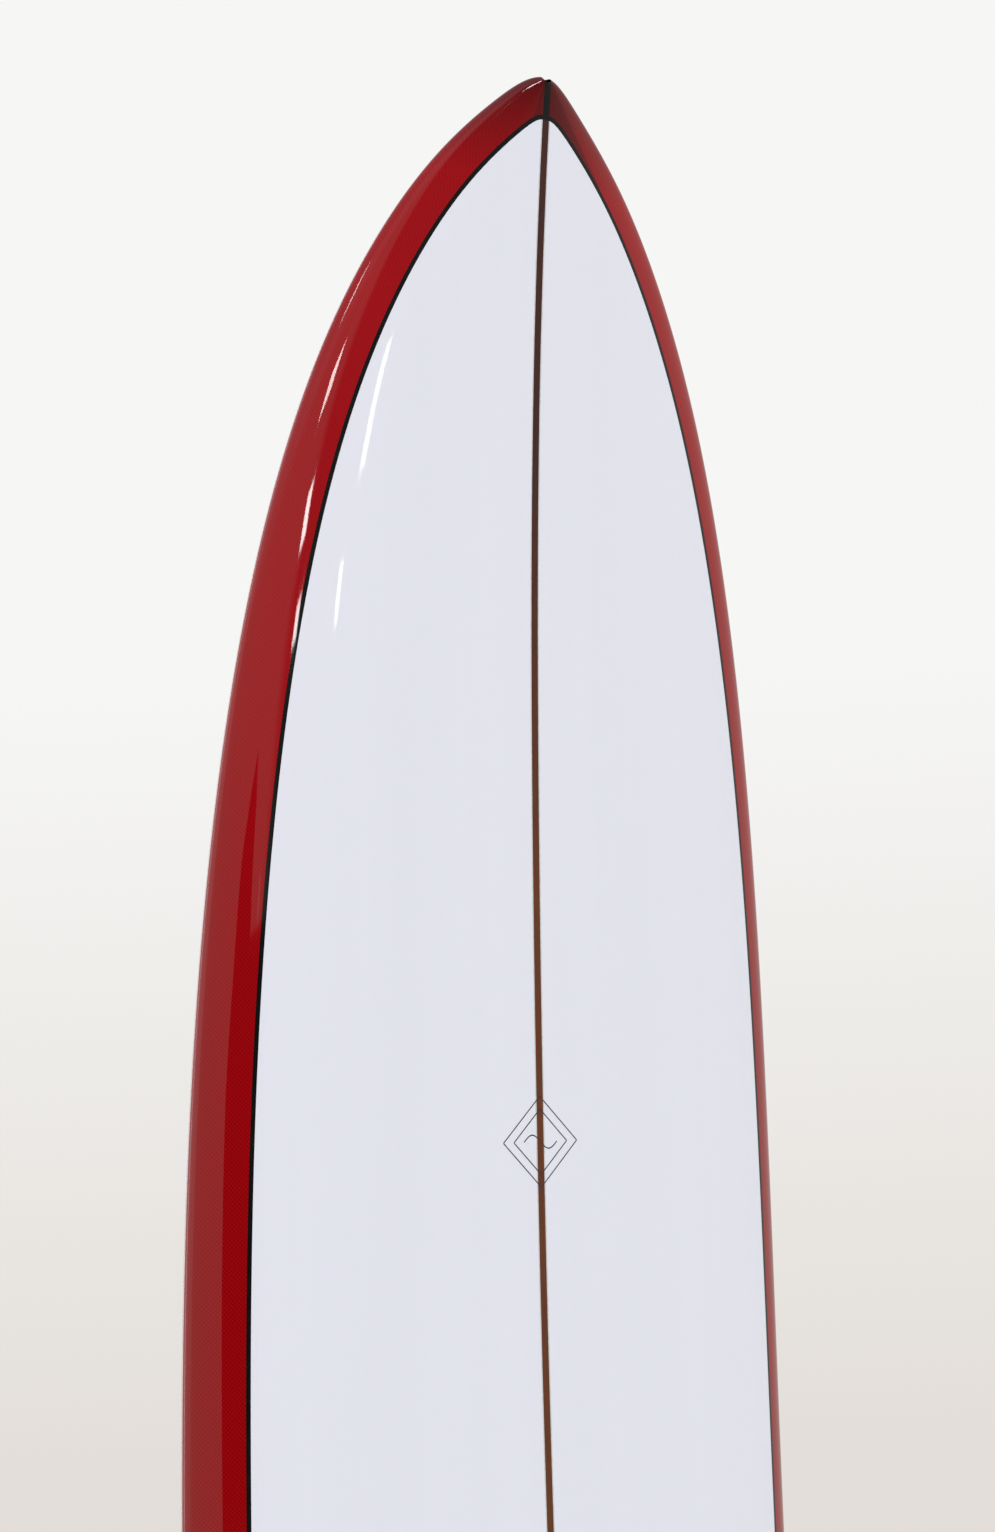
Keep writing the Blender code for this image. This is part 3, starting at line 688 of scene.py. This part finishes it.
def red_look():
    """Red resin over woven glass; the cloth overlaps, and so is darker, beside the nose line."""
    look, tree, bsdf = glassed("red_tinted_glass")
    place = object_place(tree)
    across, forward, height = axes(tree, place)
    from_nose = math_node(tree, "SUBTRACT", FLAT_SPOT * MM, height)
    pools = noise(tree, place, scale=9.0, detail=3.0, stretch=(1, 1, 0.35))
    colour = ramp(tree, pools, [(0.3, RED_DEEP), (0.7, RED)])
    colour = mix(tree, rescale(tree, from_nose, *RED_CHANGE), colour, RED_BACK)
    surface = axes(tree, surface_place(tree))
    threads = rescale(tree, weave_height(tree, surface[0], surface[1]), -1.0, 1.0)
    colour = mix(tree, math_node(tree, "MULTIPLY", threads, WEAVE_SHARE), colour, RED_THREAD)
    for side, slope, start, darkness in OVERLAPS:
        share = cloth_overlap(tree, across, forward, from_nose, side, slope, start)
        colour = mix(tree, math_node(tree, "MULTIPLY", share, darkness), colour, RED_DARK)
    tip = rescale(tree, from_nose, 0.0, DARK_TIP, 0.8, 0.0)
    colour = mix(tree, tip, colour, RED_DARK)
    tree.links.new(colour, bsdf.inputs["Base Color"])
    add_bump(tree, bsdf, threads, distance=THREAD_DEPTH)
    add_bump(tree, bsdf, threads, distance=PRINT_THROUGH, socket="Coat Normal")
    return look


def foam_look():
    """White foam with faint lengthwise streaks."""
    look, tree, bsdf = glassed("white_deck")
    streaks = noise(tree, surface_place(tree), scale=22.0, detail=3.0, stretch=(1, 0.04, 1))
    two_tone(tree, bsdf, streaks, WHITE_SHADE, WHITE)
    return look


def glue_look():
    look, tree, bsdf = glassed("glue_line")
    two_tone(tree, bsdf, noise(tree, object_place(tree), scale=300.0), GLUE_SHADE, GLUE)
    return look


def wood_look():
    """Stringer seen on edge: fine lengthwise grain, darker towards the nose."""
    look, tree, bsdf = glassed("stringer_wood")
    place = object_place(tree)
    grain = noise(tree, place, scale=900.0, detail=5.0, stretch=(1, 1, 0.012))
    patch = noise(tree, place, scale=14.0, detail=2.0, stretch=(1, 1, 0.5))
    drift = math_node(tree, "MULTIPLY", math_node(tree, "SUBTRACT", patch, 0.5), 0.6)
    forward = rescale(tree, axes(tree, place)[2], *WOOD_CHANGE)
    forward = math_node(tree, "ADD", forward, drift, clamp=True)
    light = mix(tree, grain, WOOD_LIGHT, WOOD_LIGHT_SHADE)
    dark = mix(tree, grain, WOOD_DARK, WOOD_DARK_SHADE)
    tree.links.new(mix(tree, forward, light, dark), bsdf.inputs["Base Color"])
    return look


def pinline_look():
    look, tree, bsdf = glassed("dark_pinline")
    two_tone(tree, bsdf, noise(tree, object_place(tree), scale=80.0), LINE_SHADE, LINE)
    return look


def pencil_look():
    look, tree, bsdf = glassed("pencil_line")
    grains = noise(tree, object_place(tree), scale=1500.0)
    two_tone(tree, bsdf, grains, PENCIL, PENCIL_PALE, low=0.35, high=0.75)
    return look


def plastic_look():
    """Moulded nylon: dark, with a fine sandy grain."""
    look, tree, bsdf = shader("moulded_plastic", Roughness=0.45, Specular_IOR_Level=0.4)
    place = object_place(tree)
    two_tone(tree, bsdf, noise(tree, place, scale=120.0), PLASTIC, PLASTIC_PALE)
    add_bump(tree, bsdf, noise(tree, place, scale=2500.0, detail=2.0), distance=0.00003)
    return look


def resin_look():
    """Milky set resin round the hardware."""
    look, tree, bsdf = shader("set_resin", Roughness=0.25, Subsurface_Weight=0.15, Subsurface_Scale=0.002)
    two_tone(tree, bsdf, noise(tree, object_place(tree), scale=200.0), RESIN_SHADE, RESIN)
    return look


def fin_look():
    """Sanded and polished glass panel: smoky, with its cloth showing and pale sanded rings."""
    look, tree, bsdf = shader("fin_panel", Roughness=0.35, Specular_IOR_Level=0.1, Coat_Weight=1.0,
                              Coat_Roughness=0.08, Coat_IOR=1.5)
    across, forward, height = axes(tree, object_place(tree))
    threads = weave_height(tree, height, forward)
    colour = mix(tree, rescale(tree, threads, -1.0, 1.0, 0.0, 0.5), FIN, FIN_THREAD)
    depth = math_node(tree, "ABSOLUTE", across)
    layers = math_node(tree, "SINE", math_node(tree, "MULTIPLY", depth, 2 * math.pi / FIN_LAYER))
    ring = rescale(tree, layers, 0.55, 1.0, 0.0, 0.35)
    tree.links.new(mix(tree, ring, colour, FIN_RING), bsdf.inputs["Base Color"])
    add_bump(tree, bsdf, threads, distance=0.00002)
    return look


def metal_look(name, colour, shade, roughness):
    """Machined metal with fine turning marks."""
    look, tree, bsdf = shader(name, Metallic=1.0, Roughness=roughness)
    marks = noise(tree, object_place(tree), scale=1200.0, detail=3.0, stretch=(0.1, 1, 1))
    two_tone(tree, bsdf, marks, shade, colour)
    add_bump(tree, bsdf, marks, distance=0.00001)
    return look


def smooth_copy(name, part, look, body):
    """Piece shaped like a CAD part, shaded smooth between its sharp edges."""
    mesh = frame["nodes"][part].data.copy()
    mesh.name = name
    mesh.materials.clear()
    mesh.shade_smooth()
    mesh.set_sharp_from_angle(angle=SHARP_ANGLE)
    add_piece(name, mesh, look, [part], body)


looks = {"red": red_look(), "foam": foam_look(), "glue": glue_look(), "wood": wood_look(),
         "pinline": pinline_look(), "pencil": pencil_look()}

nose_line_half = np.where((stations >= NOSE_LINE_START) & (stations < LENGTH / 2), STRINGER_HALF, 0)
build_deck()
build_pinline()
build_nose_line()
build_red_glass()
build_emblem()
plastic, resin, fin = plastic_look(), resin_look(), fin_look()
steel = metal_look("steel", STEEL, STEEL_SHADE, 0.25)
brass = metal_look("brass", BRASS, BRASS_SHADE, 0.3)
HARDWARE = [("fin_box_moulding", "fin_box", plastic, "black_plastic", "board"),
            ("fin_box_resin", "fin_box_bed", resin, "set_resin", "board"),
            ("plug_moulding", "leash_plug_cup", plastic, "black_plastic", "board"),
            ("plug_bar", "leash_plug_bar", steel, "stainless_steel", "board"),
            ("plug_resin", "leash_plug_bed", resin, "set_resin", "board"),
            ("fin_panel", "fin_blade", fin, "fin_composite", "fin"),
            ("fin_cross_pin", "fin_pin", brass, "brass_rod", "fin"),
            ("fin_clamp_screw", "fin_screw", steel, "stainless_steel", "fin"),
            ("fin_clamp_plate", "fin_plate", steel, "stainless_steel", "fin")]
for name, part, look, slot, body in HARDWARE:
    smooth_copy(name, part, look, body)


# Studio

WORLD_LOW = linear(205, 198, 192)
WORLD_WARM = linear(227, 222, 217)
WORLD_WHITE = linear(246, 246, 245)
WORLD_TOP = (0.5, 0.5, 0.52)
WORLD_TONES = [(0.0, WORLD_LOW), (0.46, WORLD_WARM), (0.56, WORLD_WHITE), (0.72, WORLD_WHITE), (0.9, WORLD_TOP)]
WALL_DISTANCE = 30.0
CARD_DISTANCE = 28.8
CARD_CENTRE = Vector((-0.1, -0.08, 1.0))
# brightness across the wall that the deck mirrors: azimuth in degrees, level
FRONT_TONES = [(-115, 0.6), (-30, 0.52), (14, 0.48), (18, 0.12), (40, 0.12), (50, 0.3), (62, 0.5), (115, 0.62)]
WALL_TINT = (1.0, 0.98, 0.92)
WALL_FADE = 24.0
WALL_COLUMNS = 46
WALL_ROWS = 16
WALL_REACH = 120.0
WALL_RISE = 40.0
# corners of the dark flag: azimuth and elevation in degrees
DARK_FLAG = [(-13, -14), (-12, -2), (-8, 0), (-6, 2.5), (3, 4), (6, 2.5), (8, -0.3), (18, -0.5), (18, -14)]
FLAG_STRENGTH = 0.01
# lamps: azimuth, elevation, width, height and lean in degrees, and strength
STRIP_LAMPS = [(-41, 43.5, 8, 6, 0, 14), (6.6, 14.2, 4, 3, -1, 16), (16, 7.2, 2, 1.6, -0.8, 20),
               (20, 4.4, 1.5, 0.8, 0, 18), (32.8, 5.8, 0.8, 1.6, 0, 9), (31.5, 3.6, 0.6, 0.8, 0, 9),
               (29.4, 19, 3, 3.6, -1.8, 20), (32.6, 20.5, 3, 5, 1, 20), (42.8, 34.9, 3, 3, 0, 20),
               (12.5, -2.5, 0.5, 6, 0, 1.2), (7.5, -3.5, 0.5, 7, 0, 1.5),
               (163, 12, 5, 50, 0, 4), (196, 12, 2.5, 50, 0, 4)]
FILL_PLACE = Vector((-1.5, -3.0, 1.75))
FILL_TARGET = Vector((0, 0, 0.4))
FILL_SIZE = 3.0
FILL_POWER = 12.0
FLOOR_RADIUS = 11.0
FLOOR_GAP = 0.0005
FLOOR_COLOUR = (0.85, 0.84, 0.83, 1)


def add_world():
    """Soft pale studio, a little warmer towards the floor."""
    studio = bpy.data.worlds.new("studio")
    studio.use_nodes = True
    tree = studio.node_tree
    height = axes(tree, tree.nodes.new("ShaderNodeTexCoord").outputs["Generated"])[2]
    tone = ramp(tree, rescale(tree, height, -1.0, 1.0), WORLD_TONES)
    tree.links.new(tone, tree.nodes["Background"].inputs["Color"])
    bpy.context.scene.world = studio


def direction_point(azimuth, elevation, distance):
    """Far point seen from the board; azimuth 0 is straight out of the deck, positive to the right."""
    a, e = math.radians(azimuth), math.radians(elevation)
    direction = Vector((math.sin(a) * math.cos(e), -math.cos(a) * math.cos(e), math.sin(e)))
    return CARD_CENTRE + direction * distance


def stage_prop(name, mesh):
    """Studio prop that the camera doesn't see; gives its object and its bare material tree."""
    look = bpy.data.materials.new(name)
    look.use_nodes = True
    tree = look.node_tree
    tree.nodes.remove(tree.nodes["Principled BSDF"])
    mesh.materials.append(look)
    prop = bpy.data.objects.new(name, mesh)
    bpy.context.scene.collection.objects.link(prop)
    prop.visible_camera = False
    return prop, tree


def front_wall_mesh():
    """Curved sheet round the front; its coordinates run 0 to 1 across and -1 to 1 up."""
    bm = bmesh.new()
    uv = bm.loops.layers.uv.new("place")
    grid = []
    for i in range(WALL_COLUMNS + 1):
        azimuth = WALL_REACH * (2 * i / WALL_COLUMNS - 1)
        grid.append([bm.verts.new(direction_point(azimuth, WALL_RISE * (2 * k / WALL_ROWS - 1), WALL_DISTANCE))
                     for k in range(WALL_ROWS + 1)])
    for i in range(WALL_COLUMNS):
        for k in range(WALL_ROWS):
            face = bm.faces.new((grid[i][k], grid[i + 1][k], grid[i + 1][k + 1], grid[i][k + 1]))
            for loop, (a, b) in zip(face.loops, ((i, k), (i + 1, k), (i + 1, k + 1), (i, k + 1))):
                loop[uv].uv = (a / WALL_COLUMNS, 2 * b / WALL_ROWS - 1)
    mesh = bpy.data.meshes.new("front_wall")
    bm.to_mesh(mesh)
    bm.free()
    return mesh


def add_front_wall():
    """Curved grey wall in front of the deck, with a dark side, that only the gloss mirrors."""
    wall, tree = stage_prop("front_wall", front_wall_mesh())
    wall.visible_diffuse = False
    wall.visible_shadow = False
    place = tree.nodes.new("ShaderNodeUVMap")
    place.uv_map = "place"
    across, up, _ = axes(tree, place.outputs[0])
    tones = [(0.5 + degrees / (2 * WALL_REACH), tuple(level * c for c in WALL_TINT))
             for degrees, level in FRONT_TONES]
    glow = node(tree, "Emission", Color=ramp(tree, across, tones))
    clear = node(tree, "BsdfTransparent")
    share = rescale(tree, math_node(tree, "ABSOLUTE", up), WALL_FADE / WALL_RISE, 1.0)
    shown = node(tree, "MixShader", i0=share, i1=glow, i2=clear)
    tree.links.new(shown, tree.nodes["Material Output"].inputs["Surface"])


def add_card(name, corners, strength):
    """Flat studio card or lamp through (azimuth, elevation) corners."""
    mesh = bpy.data.meshes.new(name)
    points = [direction_point(*corner, CARD_DISTANCE) for corner in corners]
    mesh.from_pydata(points, [], [tuple(range(len(points)))])
    tree = stage_prop(name, mesh)[1]
    glow = tree.nodes.new("ShaderNodeEmission")
    glow.inputs["Strength"].default_value = strength
    tree.links.new(glow.outputs[0], tree.nodes["Material Output"].inputs["Surface"])


def add_cards():
    """One dark flag, and the lamps that make the highlights."""
    add_card("dark_flag", DARK_FLAG, FLAG_STRENGTH)
    for k, (azimuth, elevation, width, height, lean, strength) in enumerate(STRIP_LAMPS):
        low = (azimuth - lean, elevation - height / 2)
        high = (azimuth + lean, elevation + height / 2)
        corners = [(low[0] - width / 2, low[1]), (low[0] + width / 2, low[1]),
                   (high[0] + width / 2, high[1]), (high[0] - width / 2, high[1])]
        add_card("strip_lamp_%d" % k, corners, strength)


def add_fill():
    """Large soft lamp beside the camera; it lights the board without showing in the gloss."""
    data = bpy.data.lights.new("fill", "AREA")
    data.shape = "DISK"
    data.size = FILL_SIZE
    data.energy = FILL_POWER
    fill = bpy.data.objects.new("fill", data)
    bpy.context.scene.collection.objects.link(fill)
    fill.location = FILL_PLACE
    fill.rotation_euler = (FILL_TARGET - fill.location).to_track_quat("-Z", "Y").to_euler()
    fill.visible_glossy = False


def add_floor():
    """Plain pale floor just under the board."""
    mesh = bpy.data.meshes.new("floor")
    bm = bmesh.new()
    bmesh.ops.create_circle(bm, cap_ends=True, radius=FLOOR_RADIUS, segments=96)
    bm.to_mesh(mesh)
    bm.free()
    floor = bpy.data.objects.new("floor", mesh)
    bpy.context.scene.collection.objects.link(floor)
    floor.location.z = cad_box[0][2] - FLOOR_GAP
    mesh.materials.append(shader("floor", Roughness=0.7, Base_Color=FLOOR_COLOUR)[0])


def add_camera():
    """Camera on the deck side, low and to the left, looking a little up."""
    camera = bpy.data.objects.new("camera", bpy.data.cameras.new("camera"))
    bpy.context.scene.collection.objects.link(camera)
    camera.location = CAMERA_PLACE
    camera.rotation_euler = [math.radians(a) for a in CAMERA_TURN]
    camera.data.sensor_fit = "VERTICAL"
    camera.data.sensor_height = SENSOR
    camera.data.lens = CAMERA_LENS
    bpy.context.scene.camera = camera


add_world()
add_front_wall()
add_cards()
add_fill()
add_floor()
add_camera()
bpy.context.scene.view_settings.view_transform = "Standard"
